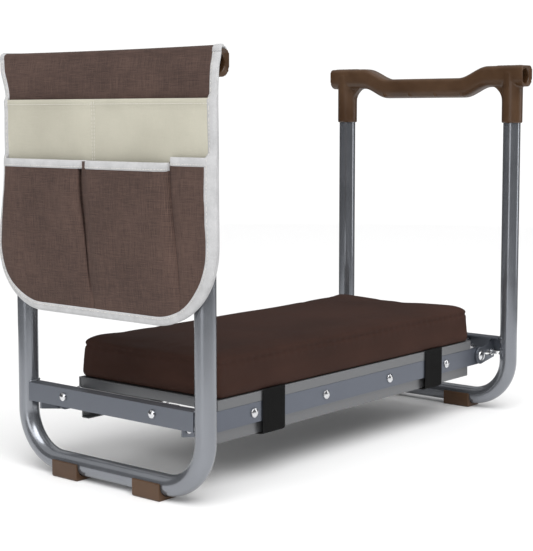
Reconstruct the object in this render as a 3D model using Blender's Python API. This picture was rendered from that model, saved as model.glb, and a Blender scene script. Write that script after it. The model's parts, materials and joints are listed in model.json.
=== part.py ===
"""Folding garden kneeler seat: a steel seat pan with a cushion, on two folding U-shaped leg frames with
moulded handles, and a tool pouch hung over the left handle.

World frame: +X along the seat, +Y to the back, +Z up, floor at z = 0. Each leg is built in a side frame,
where x is the distance outwards from the middle of the seat, and is turned half round for the left leg.
"""

import math

import bmesh
import bpy
from mathutils import Matrix, Vector

# Driving dimensions, in metres.
FRAME_HEIGHT = 0.490  # floor to the top of the handles
FRAME_X = 0.320  # middle of the seat to the plane of a leg frame
UPRIGHT_Y = 0.143  # middle of the seat to the axis of an upright
TUBE_R = 0.012
TUBE_WALL = 0.0012
BEND_R = 0.057  # centreline radius of the bends at the floor
PAN_TOP = 0.105
PAN_DEPTH = 0.050
PAN_HALF_X = 0.267
LIP_HALF_Y = 0.113
LIP_HEIGHT = 0.012
RAIL_HEIGHT = 0.024
RAIL_THICK = 0.004
PIVOT_X = 0.291
CUSHION_THICK = 0.048
CUSHION_HALF = (0.2675, 0.1155)
HANDLE_HALF_Y = 0.167
HANDLE_WIDTH = 0.028
LOCK_TRAVEL = 0.009
POUCH_HALF_Y = 0.171
POUCH_BOTTOM = 0.203
SEAT_X = 0.0121  # puts the origin under the middle of the whole object's box, pouch included

# Fits and stock.
GAP = 0.0003
SHEET = 0.0016
PLATE = 0.003

# Places worked out from the driving dimensions.
WALL_HALF_Y = LIP_HALF_Y - 0.0045
SKIRT_BOTTOM = PAN_TOP - PAN_DEPTH
RAIL_TOP = PAN_TOP - LIP_HEIGHT
PIVOT_Z = RAIL_TOP - RAIL_HEIGHT / 2
RAIL_IN = WALL_HALF_Y + GAP
RAIL_OUT = RAIL_IN + RAIL_THICK
EAR_IN = RAIL_OUT + 0.0005
EAR_OUT = EAR_IN + PLATE
BOLT_XS = [-0.204, -0.068, 0.068, 0.204]
BOLT_R = 0.003
RIVET_R = 0.004

FOOT_BASE = 0.004
FOOT_Y = 0.066
FOOT_LENGTH = 0.042
FOOT_HEIGHT = 0.020
FOOT_HALF_X = TUBE_R + GAP + 0.0027
TUBE_Z = FOOT_BASE + GAP + TUBE_R
TUBE_TOP = FRAME_HEIGHT - 0.034

CHANNEL_TOP = PAN_TOP
CHANNEL_BOTTOM = CHANNEL_TOP - 0.022
WEB_OUT = FRAME_X + 0.009
WEB_IN = WEB_OUT - 0.002
FLANGE_IN = WEB_OUT - 0.017

ROD_R = 0.003
ROD_X = PIVOT_X + 0.027
ROD_Z = PIVOT_Z + 0.002
CRANK_X = PIVOT_X + 0.006
CRANK_Z = PIVOT_Z + 0.017
ROD_HALF_Y = EAR_OUT + 0.009
SPRING_Y = 0.072
SPRING_Z = PIVOT_Z + 0.014
SPRING_R = 0.0055
SPRING_BOLT_R = 0.0025
SPRING_BOLT_END = PIVOT_X + 0.0295

SLEEVE_R = 0.0145
SLEEVE_BOTTOM = FRAME_HEIGHT - 0.080
SCREW_Z = SLEEVE_BOTTOM + 0.020
SCREW_R = 0.002

STRAP_X = 0.170
STRAP_WIDTH = 0.040
STRAP_THICK = 0.0014

CLOTH = 0.0024
HANGER_TOP = FRAME_HEIGHT + 0.0006
HANGER_END = FRAME_HEIGHT - 0.0095
POUCH_IN = FRAME_X + 0.0173
POUCH_BACK = 0.002
POUCH_WALL = 0.0014
UPPER_DEPTH = 0.0052
LOWER_DEPTH = 0.013
POUCH_PIVOT = (POUCH_IN + POUCH_BACK / 2, FRAME_HEIGHT - 0.012)
UPPER_POCKET_TOP = FRAME_HEIGHT - 0.0513
LOWER_POCKET_TOP = FRAME_HEIGHT - 0.116
POUCH_CORNER_R = 0.034

COLOURS = {
    "painted_tube": ((0.21, 0.22, 0.24), 0.35, 0.7),
    "painted_sheet": ((0.16, 0.165, 0.17), 0.45, 0.6),
    "painted_rail": ((0.11, 0.12, 0.15), 0.4, 0.6),
    "bright_zinc": ((0.62, 0.62, 0.62), 0.22, 1.0),
    "brown_plastic": ((0.072, 0.036, 0.018), 0.4, 0.0),
    "cushion_cover": ((0.045, 0.024, 0.019), 0.75, 0.0),
    "elastic": ((0.004, 0.004, 0.004), 0.8, 0.0),
    "pouch_brown": ((0.11, 0.065, 0.05), 0.85, 0.0),
    "pouch_beige": ((0.66, 0.64, 0.52), 0.85, 0.0),
}


def material(name):
    found = bpy.data.materials.get(name)
    if found:
        return found
    made = bpy.data.materials.new(name)
    made.use_nodes = True
    colour, roughness, metallic = COLOURS[name]
    shader = made.node_tree.nodes["Principled BSDF"]
    shader.inputs["Base Color"].default_value = (*colour, 1.0)
    shader.inputs["Roughness"].default_value = roughness
    shader.inputs["Metallic"].default_value = metallic
    return made


def mesh_of(build):
    """The mesh that a bmesh function fills, with its faces turned outwards."""
    bm = bmesh.new()
    build(bm)
    bmesh.ops.recalc_face_normals(bm, faces=bm.faces)
    mesh = bpy.data.meshes.new("shape")
    bm.to_mesh(mesh)
    bm.free()
    return mesh


def combined(base, cuts=(), joins=()):
    """The mesh base with each mesh of joins united with it, then each mesh of cuts taken from it."""
    target = bpy.data.objects.new("target", base)
    bpy.context.collection.objects.link(target)
    tools = []
    for operation, meshes in (("UNION", joins), ("DIFFERENCE", cuts)):
        for mesh in meshes:
            tool = bpy.data.objects.new("tool", mesh)
            bpy.context.collection.objects.link(tool)
            modifier = target.modifiers.new("boolean", "BOOLEAN")
            modifier.operation = operation
            modifier.object = tool
            tools.append(tool)
    bpy.context.view_layer.update()
    evaluated = target.evaluated_get(bpy.context.evaluated_depsgraph_get())
    made = bpy.data.meshes.new_from_object(evaluated)
    for helper in [target, *tools]:
        bpy.data.objects.remove(helper)
    return made


def add(name, mesh, colour, parent, location=(0.0, 0.0, 0.0), sharp=35):
    """An object showing this mesh, shaded smooth across edges flatter than sharp degrees."""
    mesh.materials.clear()
    mesh.materials.append(material(colour))
    mesh.shade_smooth()
    mesh.set_sharp_from_angle(angle=math.radians(sharp))
    obj = bpy.data.objects.new(name, mesh)
    bpy.context.collection.objects.link(obj)
    obj.parent = parent
    obj.location = location
    return obj


def empty(name, location, turn=0.0, parent=None):
    made = bpy.data.objects.new(name, None)
    bpy.context.collection.objects.link(made)
    made.location = location
    made.rotation_euler = (0.0, 0.0, turn)
    made.parent = parent
    return made


def prism(outline, axis, start, end):
    """A solid with this outline of the two other coordinates, in X, Y, Z order, pulled along axis."""

    def point(pair, along):
        values = list(pair)
        values.insert("XYZ".index(axis), along)
        return values

    def build(bm):
        near = [bm.verts.new(point(pair, start)) for pair in outline]
        far = [bm.verts.new(point(pair, end)) for pair in outline]
        bm.faces.new(near)
        bm.faces.new(list(reversed(far)))
        for i, vert in enumerate(near):
            j = (i + 1) % len(near)
            bm.faces.new((near[j], vert, far[i], far[j]))

    return mesh_of(build)


def block(low, high):
    outline = [(low[0], low[1]), (high[0], low[1]), (high[0], high[1]), (low[0], high[1])]
    return prism(outline, "Z", low[2], high[2])


def tunnel(x, z, radius, y, sides=16):
    """A cutter that passes along Y through the side of the seat or leg at y."""
    return disc((x, z), radius, "Y", y - 0.012, y + 0.012, sides)


def arc(centre, radius, start, end, steps):
    """Points round a centre, from start to end degrees."""
    angles = [math.radians(start + (end - start) * i / steps) for i in range(steps + 1)]
    return [(centre[0] + radius * math.cos(a), centre[1] + radius * math.sin(a)) for a in angles]


def disc(centre, radius, axis, start, end, sides=16):
    """A cylinder whose axis is parallel to X, Y or Z."""
    return prism(arc(centre, radius, 0, 360, sides)[:-1], axis, start, end)


def turned(profile, sides, centre, direction):
    """A closed profile of (distance along, radius) pairs, turned round an axis through centre."""
    turn = Vector((0.0, 0.0, 1.0)).rotation_difference(Vector(direction)).to_matrix().to_4x4()
    place = Matrix.Translation(centre) @ turn

    def ring(bm, along, radius):
        around = arc((0, 0), radius, 0, 360, sides)[:-1] if radius else [(0.0, 0.0)]
        return [bm.verts.new(place @ Vector((x, y, along))) for x, y in around]

    def build(bm):
        rings = [ring(bm, along, radius) for along, radius in profile]
        for one, two in zip(rings, rings[1:]):
            for i in range(sides):
                j = (i + 1) % sides
                corners = [one[i % len(one)], one[j % len(one)], two[j % len(two)], two[i % len(two)]]
                bm.faces.new(list(dict.fromkeys(corners)))

    return mesh_of(build)


def filleted(corners, radius, steps):
    """The corner points of a route with each inner corner rounded."""
    points = [Vector(corners[0])]
    for before, corner, after in zip(corners, corners[1:], corners[2:]):
        corner = Vector(corner)
        back = (Vector(before) - corner).normalized()
        ahead = (Vector(after) - corner).normalized()
        half = back.angle(ahead) / 2
        centre = corner + (back + ahead).normalized() * radius / math.sin(half)
        first = (corner + back * radius / math.tan(half) - centre).normalized()
        last = (corner + ahead * radius / math.tan(half) - centre).normalized()
        points += [centre + first.slerp(last, i / steps) * radius for i in range(steps + 1)]
    points.append(Vector(corners[-1]))
    return points


def swept(points, radius, sides, bore=0.0):
    """A rod along the points, or a tube where bore is its inner radius."""

    def build(bm):
        side = (points[1] - points[0]).orthogonal().normalized()
        rings = {radius: [], bore: []}
        for i, point in enumerate(points):
            ahead = points[min(i + 1, len(points) - 1)] - point
            behind = point - points[max(i - 1, 0)]
            along = (ahead.normalized() + behind.normalized()).normalized()
            side = (side - along * side.dot(along)).normalized()
            up = along.cross(side)
            for r, found in rings.items():
                if r:
                    around = arc((0, 0), r, 0, 360, sides)[:-1]
                    found.append([bm.verts.new(point + side * x + up * y) for x, y in around])
        for found in rings.values():
            for one, two in zip(found, found[1:]):
                for i in range(sides):
                    j = (i + 1) % sides
                    bm.faces.new((one[i], one[j], two[j], two[i]))
        for end in (0, -1):
            outer = rings[radius][end]
            if not bore:
                bm.faces.new(outer)
                continue
            inner = rings[bore][end]
            for i in range(sides):
                j = (i + 1) % sides
                bm.faces.new((outer[i], outer[j], inner[j], inner[i]))

    return mesh_of(build)


def smooth_step(value):
    value = min(max(value, 0.0), 1.0)
    return value * value * (3.0 - 2.0 * value)


def ends():
    """The front and the back of the object, as names and signs of y."""
    return (("front", -1), ("rear", 1))


# The seat.


def pan_mesh():
    """A folded sheet: a flat top, a lip that stands proud at each long side, a wall and an inward hem."""
    hem = WALL_HALF_Y - 0.012
    half = [
        (LIP_HALF_Y, PAN_TOP), (LIP_HALF_Y, RAIL_TOP), (WALL_HALF_Y, RAIL_TOP), (WALL_HALF_Y, SKIRT_BOTTOM),
        (hem, SKIRT_BOTTOM), (hem, SKIRT_BOTTOM + SHEET), (WALL_HALF_Y - SHEET, SKIRT_BOTTOM + SHEET),
        (WALL_HALF_Y - SHEET, RAIL_TOP + SHEET), (LIP_HALF_Y - SHEET, RAIL_TOP + SHEET),
        (LIP_HALF_Y - SHEET, PAN_TOP - SHEET),
    ]
    outline = half + [(-y, z) for y, z in reversed(half)]
    body = prism(outline, "X", -PAN_HALF_X, PAN_HALF_X)
    inner = LIP_HALF_Y - SHEET / 2
    end_lips = [
        block((x - SHEET / 2, -inner, RAIL_TOP), (x + SHEET / 2, inner, PAN_TOP - SHEET / 2))
        for x in (SHEET - PAN_HALF_X, PAN_HALF_X - SHEET)
    ]
    holes = [tunnel(x, PIVOT_Z, BOLT_R + GAP, y, 12) for x in BOLT_XS for y in (-WALL_HALF_Y, WALL_HALF_Y)]
    return combined(body, holes, end_lips)


def rail_mesh(sign):
    """A flat bar with round ends that carry the leg pivots."""
    radius = RAIL_HEIGHT / 2
    outline = arc((PIVOT_X, PIVOT_Z), radius, -90, 90, 12) + arc((-PIVOT_X, PIVOT_Z), radius, 90, 270, 12)
    holes = [tunnel(x, PIVOT_Z, BOLT_R + GAP, sign * RAIL_OUT, 12) for x in BOLT_XS]
    holes += [tunnel(x, PIVOT_Z, RIVET_R + GAP, sign * RAIL_OUT) for x in (-PIVOT_X, PIVOT_X)]
    return combined(prism(outline, "Y", sign * RAIL_IN, sign * RAIL_OUT), holes)


def dome(start, radius, height):
    """The profile of a rounded head that starts at a distance along its axis."""
    shares = ((0.0, 1.0), (0.45, 0.93), (0.85, 0.6), (1.0, 0.0))
    return [(start + height * along, radius * across) for along, across in shares]


def rail_bolt_mesh(x, sign):
    tail = WALL_HALF_Y - SHEET - GAP
    head = RAIL_OUT + GAP
    profile = [(tail - 0.002, 0.0), (tail - 0.002, 0.005), (tail, 0.005), (tail, BOLT_R), (head, BOLT_R)]
    profile += dome(head, 0.006, 0.003)
    return turned(profile, 14, (x, 0.0, PIVOT_Z), (0.0, sign, 0.0))


def pivot_rivet_mesh(x, sign):
    tail = RAIL_IN - GAP
    head = EAR_OUT + GAP
    formed = [(tail - 0.0028, 0.0), (tail - 0.0028, 0.0055), (tail - 0.001, 0.007), (tail, 0.007)]
    profile = [*formed, (tail, RIVET_R), (head, RIVET_R), *dome(head, 0.0075, 0.0032)]
    return turned(profile, 16, (x, 0.0, PIVOT_Z), (0.0, sign, 0.0))


def cushion_mesh():
    half_x, half_y = CUSHION_HALF
    bottom = PAN_TOP + GAP
    top = bottom + CUSHION_THICK
    edges = (
        (half_x, half_y, 0.004, bottom),
        (half_x, half_y, 0.004, top - 0.012),
        (half_x - 0.004, half_y - 0.004, 0.010, top - 0.004),
        (half_x - 0.012, half_y - 0.012, 0.012, top),
    )

    def outline(half_x, half_y, corner):
        quarter = arc((half_x - corner, half_y - corner), corner, 0, 90, 4)
        right = quarter + [(-x, y) for x, y in reversed(quarter)]
        return right + [(x, -y) for x, y in reversed(right)]

    def build(bm):
        rings = [[bm.verts.new((x, y, z)) for x, y in outline(a, b, corner)] for a, b, corner, z in edges]
        for one, two in zip(rings, rings[1:]):
            for i in range(len(one)):
                j = (i + 1) % len(one)
                bm.faces.new((one[i], one[j], two[j], two[i]))
        bm.faces.new(rings[0])
        bm.faces.new(rings[-1])

    return mesh_of(build)


def strap_mesh(x):
    """An elastic band from one lower edge of the cushion, under the pan, to the other."""
    inner = LIP_HALF_Y + 0.0005
    outer = inner + STRAP_THICK
    low = SKIRT_BOTTOM - 0.0005
    corner = 0.002
    half = [(outer, PAN_TOP), (outer, low - STRAP_THICK + corner), (outer - corner, low - STRAP_THICK)]
    back = [(inner - corner, low), (inner, low + corner), (inner, PAN_TOP)]
    outline = half + [(-y, z) for y, z in reversed(half)] + [(-y, z) for y, z in reversed(back)] + back
    return prism(outline, "X", x - STRAP_WIDTH / 2, x + STRAP_WIDTH / 2)


def build_seat():
    seat = empty("seat_frame", (SEAT_X, 0.0, 0.0))
    add("seat_pan", pan_mesh(), "painted_sheet", seat)
    add("cushion", cushion_mesh(), "cushion_cover", seat)
    for name, sign in ends():
        add(f"{name}_rail", rail_mesh(sign), "painted_rail", seat)
        for number, x in enumerate(BOLT_XS, 1):
            add(f"{name}_rail_bolt_{number}", rail_bolt_mesh(x, sign), "bright_zinc", seat)
        for side, x in (("left", -PIVOT_X), ("right", PIVOT_X)):
            add(f"{side}_pivot_rivet_{name}", pivot_rivet_mesh(x, sign), "bright_zinc", seat)
    for side, x in (("left", -STRAP_X), ("right", STRAP_X)):
        add(f"{side}_strap", strap_mesh(x), "elastic", seat)


# A leg, in its side frame.


def screw_hole(y):
    return disc((y, SCREW_Z), SCREW_R + GAP, "X", FRAME_X, FRAME_X + 0.02, 10)


def frame_tube_mesh():
    corners = [(FRAME_X, y, z) for y, z in (
        (-UPRIGHT_Y, TUBE_TOP), (-UPRIGHT_Y, TUBE_Z), (UPRIGHT_Y, TUBE_Z), (UPRIGHT_Y, TUBE_TOP))]
    tube = swept(filleted(corners, BEND_R, 8), TUBE_R, 16, TUBE_R - TUBE_WALL)
    return combined(tube, [screw_hole(sign * UPRIGHT_Y) for _, sign in ends()])


def spring_bolt_hole(y):
    return disc((y, SPRING_Z), SPRING_BOLT_R + GAP, "X", WEB_IN - 0.01, WEB_OUT + 0.01, 12)


def channel_mesh():
    """An angle whose web reaches round the tubes a little further than its flange."""
    flange_half_y = UPRIGHT_Y - TUBE_R - GAP
    web_half_y = UPRIGHT_Y - math.sqrt(TUBE_R**2 - (WEB_IN - FRAME_X) ** 2) - GAP
    web = block((WEB_IN, -web_half_y, CHANNEL_BOTTOM), (WEB_OUT, web_half_y, CHANNEL_TOP))
    low = (FLANGE_IN, -flange_half_y, CHANNEL_TOP - 0.002)
    flange = block(low, (WEB_IN + 0.001, flange_half_y, CHANNEL_TOP))
    return combined(web, [spring_bolt_hole(sign * SPRING_Y) for _, sign in ends()], [flange])


def ear_mesh(sign):
    """A plate from the cross channel to the pivot, with a tapered slot for the lock rod."""
    radius = RAIL_HEIGHT / 2
    foot = WEB_IN - GAP
    top = CHANNEL_TOP - 0.002 - GAP
    start = (PIVOT_X + 0.004, PIVOT_Z + radius - 0.0006)
    run, climb = foot - 0.002 - start[0], top - start[1]
    rise = [(start[0] + run * i / 6, start[1] + climb * (i / 6) ** 2) for i in range(7)]
    outline = [(foot, PIVOT_Z - 0.006), (foot, top), *reversed(rise)]
    outline += arc((PIVOT_X, PIVOT_Z), radius, 80, 270, 12)
    slot_r = ROD_R + GAP
    inner_x = ROD_X - LOCK_TRAVEL
    tip_x = inner_x - 0.0075
    slot = [(tip_x, ROD_Z - 0.0008), (inner_x, ROD_Z - slot_r), *arc((ROD_X, ROD_Z), slot_r, -90, 90, 10)]
    slot += [(inner_x, ROD_Z + slot_r), (tip_x, ROD_Z + 0.0008)]
    slot_cutter = prism(slot, "Y", sign * (EAR_IN - 0.01), sign * (EAR_OUT + 0.01))
    plate = prism(outline, "Y", sign * EAR_IN, sign * EAR_OUT)
    return combined(plate, [tunnel(PIVOT_X, PIVOT_Z, RIVET_R + GAP, sign * EAR_OUT), slot_cutter])


def foot_mesh(y):
    """A plastic saddle that clips up round the tube."""
    groove = [(FRAME_X + x, z) for x, z in arc((0.0, TUBE_Z), TUBE_R + GAP, 0, -180, 12)]
    chamfer = 0.0015
    low, high = FRAME_X - FOOT_HALF_X, FRAME_X + FOOT_HALF_X
    base = [(low, FOOT_HEIGHT), (low, chamfer), (low + chamfer, 0.0)]
    base += [(high - chamfer, 0.0), (high, chamfer)]
    rim = FRAME_X + TUBE_R + GAP
    outline = [*base, (high, FOOT_HEIGHT), (rim, FOOT_HEIGHT), *groove, (2 * FRAME_X - rim, FOOT_HEIGHT)]
    return prism(outline, "Y", y - FOOT_LENGTH / 2, y + FOOT_LENGTH / 2)


def grip_section(y):
    """The handle's cross section at y: a flat top and a rounded underside, as (x, z) points."""
    far = abs(y)
    top = FRAME_HEIGHT - 0.016 * (1.0 - smooth_step((far - 0.060) / 0.048))
    bottom = FRAME_HEIGHT - 0.044 + 0.0145 * smooth_step((far - 0.066) / 0.042)
    middle, half = (top + bottom) / 2, (top - bottom) / 2
    points = []
    for x, z in arc((0.0, 0.0), 1.0, 0, 360, 18)[:-1]:
        power = 0.35 if z > 0 else 0.75
        width = math.copysign(abs(x) ** power, x) if abs(x) > 1e-6 else 0.0
        height = math.copysign(abs(z) ** power, z) if abs(z) > 1e-6 else 0.0
        points.append((FRAME_X + HANDLE_WIDTH / 2 * width, middle + half * height))
    return points


def grip_mesh():
    """The S-curved bar that joins the two sleeves."""
    inner = [0.125 - 0.0125 * i for i in range(21)]
    stations = [HANDLE_HALF_Y, HANDLE_HALF_Y - 0.003, *inner, 0.003 - HANDLE_HALF_Y, -HANDLE_HALF_Y]

    def build(bm):
        rings = []
        for y in stations:
            section = grip_section(y)
            middle = Vector((FRAME_X, sum(z for _, z in section) / len(section)))
            shrink = 0.92 if abs(y) == HANDLE_HALF_Y else 1.0
            shrunk = [middle + (Vector(point) - middle) * shrink for point in section]
            rings.append([bm.verts.new((x, y, z)) for x, z in shrunk])
        for one, two in zip(rings, rings[1:]):
            for i in range(len(one)):
                j = (i + 1) % len(one)
                bm.faces.new((one[i], one[j], two[j], two[i]))
        bm.faces.new(rings[0])
        bm.faces.new(rings[-1])

    return mesh_of(build)


def gusset_mesh(sign):
    """The curved web between a sleeve and the underside of the grip."""
    start = UPRIGHT_Y - SLEEVE_R + 0.004
    reach = 0.026
    base = FRAME_HEIGHT - 0.050
    end = start - 0.004 - reach
    top = FRAME_HEIGHT - 0.012
    curve = [(sign * (end + x), z) for x, z in arc((0.0, base), 0.024, 90, 0, 8)]
    outline = [*curve, (sign * start, base), (sign * start, top), (sign * end, top)]
    return prism(outline, "X", FRAME_X - 0.007, FRAME_X + 0.007)


def socket_mesh(sign):
    """The oval opening in an end of the grip."""
    unit = arc((0, 0), 1.0, 0, 360, 16)[:-1]
    outline = [(FRAME_X + 0.0095 * x, FRAME_HEIGHT - 0.0145 + 0.0105 * z) for x, z in unit]
    return prism(outline, "Y", sign * (HANDLE_HALF_Y - 0.030), sign * (HANDLE_HALF_Y + 0.01))


def handle_mesh():
    joins, cuts = [], []
    for _, sign in ends():
        centre = (FRAME_X, sign * UPRIGHT_Y)
        joins.append(disc(centre, SLEEVE_R, "Z", SLEEVE_BOTTOM, FRAME_HEIGHT - 0.010, 20))
        joins.append(gusset_mesh(sign))
        cuts.append(disc(centre, TUBE_R + GAP, "Z", SLEEVE_BOTTOM - 0.01, TUBE_TOP + GAP, 16))
        cuts.append(socket_mesh(sign))
        cuts.append(screw_hole(centre[1]))
    return combined(grip_mesh(), cuts, joins)


def handle_screw_mesh(y):
    head = SLEEVE_R + GAP
    tip = TUBE_R - 0.004
    point = [(tip, 0.0), (tip, 0.001), (tip + 0.002, SCREW_R), (head, SCREW_R)]
    return turned(point + dome(head, 0.004, 0.002), 10, (FRAME_X, y, SCREW_Z), (1.0, 0.0, 0.0))


def spring_bolt_mesh(y):
    head = WEB_OUT + GAP
    shank = [(SPRING_BOLT_END, 0.0), (SPRING_BOLT_END, SPRING_BOLT_R), (head, SPRING_BOLT_R)]
    return turned(shank + dome(head, 0.0052, 0.0036), 12, (0.0, y, SPRING_Z), (1.0, 0.0, 0.0))


def spring_nut_mesh(y):
    outline = arc((y, SPRING_Z), 0.0045, 0, 360, 6)[:-1]
    return combined(prism(outline, "X", WEB_IN - GAP - 0.003, WEB_IN - GAP), [spring_bolt_hole(y)])


def spring_mesh(y):
    """The coil's outer shape, from the end of the spring bolt up to the top of the lock rod."""
    start = Vector((SPRING_BOLT_END - 0.0014, y, SPRING_Z))
    end = Vector((CRANK_X + ROD_R + 0.0014, y, CRANK_Z + 0.002))
    length = (end - start).length
    profile = [(0.0, 0.0), (0.0, SPRING_R), (length, SPRING_R), (length, 0.0)]
    return turned(profile, 14, start, end - start)


def lock_rod_mesh():
    """A wire form: its ends slide in the ears' slots, and its middle is cranked inwards for the fingers."""
    bend = ROD_HALF_Y - 0.029
    half = [(ROD_X, -ROD_HALF_Y, ROD_Z), (ROD_X, -bend, ROD_Z), (CRANK_X, 0.012 - bend, CRANK_Z)]
    corners = half + [(x, -y, z) for x, y, z in reversed(half)]
    return swept(filleted(corners, 0.007, 3), ROD_R, 10)


def rod_clip_mesh(sign):
    middle = EAR_OUT + 0.0011
    ring = disc((ROD_X, ROD_Z), 0.0052, "Y", sign * (middle - 0.0006), sign * (middle + 0.0006), 14)
    return combined(ring, [tunnel(ROD_X, ROD_Z, ROD_R + GAP, sign * middle, 14)])


def build_leg(side, sign):
    """One leg on its pivot, with its lock. In the side frame, the front of the left leg is at +y."""
    turn = 0.0 if sign > 0 else math.pi
    pivot = empty(f"{side}_leg_pivot", (SEAT_X + sign * PIVOT_X, 0.0, PIVOT_Z), turn)
    lock = empty(f"{side}_lock_slide", (0.0, 0.0, 0.0), 0.0, pivot)
    place = (-PIVOT_X, 0.0, -PIVOT_Z)
    add(f"{side}_frame_tube", frame_tube_mesh(), "painted_tube", pivot, place)
    add(f"{side}_cross_channel", channel_mesh(), "painted_tube", pivot, place)
    add(f"{side}_handle", handle_mesh(), "brown_plastic", pivot, place, 50)
    add(f"{side}_lock_rod", lock_rod_mesh(), "bright_zinc", lock, place)
    for name, world in ends():
        local = world * sign
        upright = local * UPRIGHT_Y
        add(f"{side}_ear_{name}", ear_mesh(local), "painted_tube", pivot, place)
        add(f"{side}_foot_{name}", foot_mesh(local * FOOT_Y), "brown_plastic", pivot, place)
        add(f"{side}_handle_screw_{name}", handle_screw_mesh(upright), "bright_zinc", pivot, place)
        add(f"{side}_spring_bolt_{name}", spring_bolt_mesh(local * SPRING_Y), "bright_zinc", pivot, place)
        add(f"{side}_spring_nut_{name}", spring_nut_mesh(local * SPRING_Y), "bright_zinc", pivot, place)
        add(f"{side}_spring_{name}", spring_mesh(local * SPRING_Y), "bright_zinc", pivot, place)
        add(f"{side}_rod_clip_{name}", rod_clip_mesh(local), "bright_zinc", lock, place)
    return pivot


# The tool pouch on the left handle, in that leg's side frame, where the front is at +y.


def panel_outline(inset, top):
    """A panel with rounded bottom corners, as (y, z) points."""
    half = POUCH_HALF_Y - inset
    radius = POUCH_CORNER_R - inset
    low = POUCH_BOTTOM + inset
    return [(half, top), (-half, top), *arc((radius - half, low + radius), radius, 180, 270, 6),
            *arc((half - radius, low + radius), radius, 270, 360, 6)]


def hanger_mesh():
    """The pouch's top, folded over the handle, with a tongue down its inner side."""
    out = FRAME_X + HANDLE_WIDTH / 2 + 0.0006
    inner = FRAME_X - HANDLE_WIDTH / 2 - 0.0012
    bend = 0.004
    top = HANGER_TOP + CLOTH - bend
    over = [(out, HANGER_END), (out + CLOTH, HANGER_END), *arc((out + CLOTH - bend, top), bend, 0, 90, 3)]
    over += [*arc((inner - CLOTH + bend, top), bend, 90, 180, 3), (inner - CLOTH, HANGER_END)]
    over += [(inner, HANGER_END), (inner, HANGER_TOP), (out, HANGER_TOP)]
    tongue = block((inner - CLOTH, -0.118, FRAME_HEIGHT - 0.070), (inner, 0.118, HANGER_END + 0.002))
    return combined(prism(over, "Y", -POUCH_HALF_Y, POUCH_HALF_Y), (), [tongue])


def closure_mesh():
    start = FRAME_X - HANDLE_WIDTH / 2 - 0.0012 + GAP
    low = FRAME_HEIGHT - 0.069
    return block((start, -0.115, low), (start + 0.0015, 0.115, low + 0.022))


def pocket_tray(start, depth, top, seams, inset, base):
    """A front wall on side strips and seams, open at its top and against the panel behind it.

    seams are the y values of the strips between pockets; base is the height of the lowest strip."""
    outer = start + depth + POUCH_WALL
    shell = prism(panel_outline(inset, top), "X", start, outer)
    edges = [-POUCH_HALF_Y + inset + 0.007, *seams, POUCH_HALF_Y - inset - 0.007]
    strip = 0.003
    cuts = [
        block((start - 0.01, low + strip / 2, base), (start + depth, high - strip / 2, top + 0.01))
        for low, high in zip(edges, edges[1:])
    ]
    return combined(shell, cuts)


def build_pouch(leg):
    place = (-PIVOT_X, 0.0, -PIVOT_Z)
    add("pouch_hanger", hanger_mesh(), "pouch_brown", leg, place)
    add("pouch_closure", closure_mesh(), "elastic", leg, place)
    hinge = empty("pouch_hinge", (POUCH_PIVOT[0] - PIVOT_X, 0.0, POUCH_PIVOT[1] - PIVOT_Z), 0.0, leg)
    place = (-POUCH_PIVOT[0], 0.0, -POUCH_PIVOT[1])
    back = prism(panel_outline(0.0, POUCH_PIVOT[1] - 0.0025), "X", POUCH_IN, POUCH_IN + POUCH_BACK)
    add("pouch_back_panel", back, "pouch_brown", hinge, place)
    start = POUCH_IN + POUCH_BACK + GAP
    base = POUCH_BOTTOM + POUCH_CORNER_R
    upper = pocket_tray(start, UPPER_DEPTH, UPPER_POCKET_TOP, [-0.004], 0.001, base)
    add("pouch_upper_pockets", upper, "pouch_beige", hinge, place)
    start += UPPER_DEPTH + POUCH_WALL + GAP
    lower = pocket_tray(start, LOWER_DEPTH, LOWER_POCKET_TOP, [-0.010, 0.120], 0.002, base)
    add("pouch_lower_pockets", lower, "pouch_brown", hinge, place)


def main():
    for obj in list(bpy.data.objects):
        bpy.data.objects.remove(obj)
    build_seat()
    left = build_leg("left", -1)
    build_leg("right", 1)
    build_pouch(left)


main()
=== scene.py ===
"""Looks for the folding garden kneeler seat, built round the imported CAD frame.

World frame in metres: +X along the seat, +Y to the back, +Z up, floor at z = 0. The pouch hangs over
the left handle, and its outer face looks along -X.
"""

import json
import math

import bmesh
import bpy
import numpy as np
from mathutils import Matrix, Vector, noise


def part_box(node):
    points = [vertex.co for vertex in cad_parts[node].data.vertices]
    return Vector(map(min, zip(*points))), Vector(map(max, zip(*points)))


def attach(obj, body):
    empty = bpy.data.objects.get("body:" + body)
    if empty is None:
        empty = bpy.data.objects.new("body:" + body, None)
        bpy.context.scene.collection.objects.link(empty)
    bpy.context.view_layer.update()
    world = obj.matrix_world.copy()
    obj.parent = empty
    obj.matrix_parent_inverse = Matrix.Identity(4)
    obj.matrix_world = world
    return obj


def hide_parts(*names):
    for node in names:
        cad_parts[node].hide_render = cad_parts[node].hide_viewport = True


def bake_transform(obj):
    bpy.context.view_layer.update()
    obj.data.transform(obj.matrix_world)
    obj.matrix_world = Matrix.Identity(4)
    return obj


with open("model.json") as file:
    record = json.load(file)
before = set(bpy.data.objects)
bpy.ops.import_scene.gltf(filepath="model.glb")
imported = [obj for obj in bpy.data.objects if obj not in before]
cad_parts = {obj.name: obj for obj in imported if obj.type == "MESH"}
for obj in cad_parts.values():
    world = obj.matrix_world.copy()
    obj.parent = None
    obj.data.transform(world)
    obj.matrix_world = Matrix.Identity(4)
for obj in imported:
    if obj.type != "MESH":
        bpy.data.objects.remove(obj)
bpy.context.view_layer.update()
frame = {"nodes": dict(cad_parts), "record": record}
nodes = frame["nodes"]
scene = bpy.context.scene



def middle_x(node):
    low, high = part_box(node)
    return (low.x + high.x) / 2


SEAT_X = middle_x("cushion")
SIGN = {"left": -1, "right": 1}
LEG_X = {side: middle_x(f"{side}_handle") for side in SIGN}
ENDS = ("front", "rear")
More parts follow.
